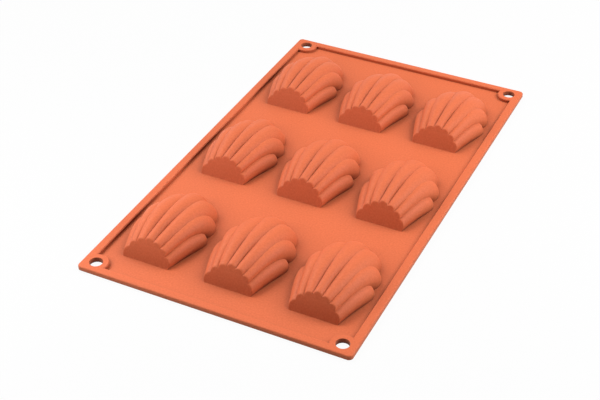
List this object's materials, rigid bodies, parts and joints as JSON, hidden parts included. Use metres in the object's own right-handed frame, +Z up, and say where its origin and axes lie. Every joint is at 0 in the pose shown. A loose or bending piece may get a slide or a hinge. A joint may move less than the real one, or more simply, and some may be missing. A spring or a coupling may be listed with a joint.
{
  "type": "madeleine mould",
  "caption": "Flexible silicone baking mould with rows of ribbed, shell-shaped cake cavities in a thin sheet, a raised border and a hole in each corner for hanging.",
  "frame": {"origin": "centre of the rectangle that the mould lies on, at the table's height", "axes": "+Z up, with the cups' bumps upwards; +Y along the long side, from the cups' flat ends towards their rounded ends; +X to the right seen from the flat ends"},
  "size_m": [0.175, 0.3, 0.0172],
  "materials": {
    "silicone": "satin"
  },
  "bodies": {
    "root": {"sheet": "silicone", "border_front": "silicone", "border_back": "silicone", "border_left": "silicone", "border_right": "silicone", "cup_front_left": "silicone", "cup_front_middle": "silicone", "cup_front_right": "silicone", "cup_middle_left": "silicone", "cup_middle_middle": "silicone", "cup_middle_right": "silicone", "cup_back_left": "silicone", "cup_back_middle": "silicone", "cup_back_right": "silicone"}
  },
  "joints": []
}
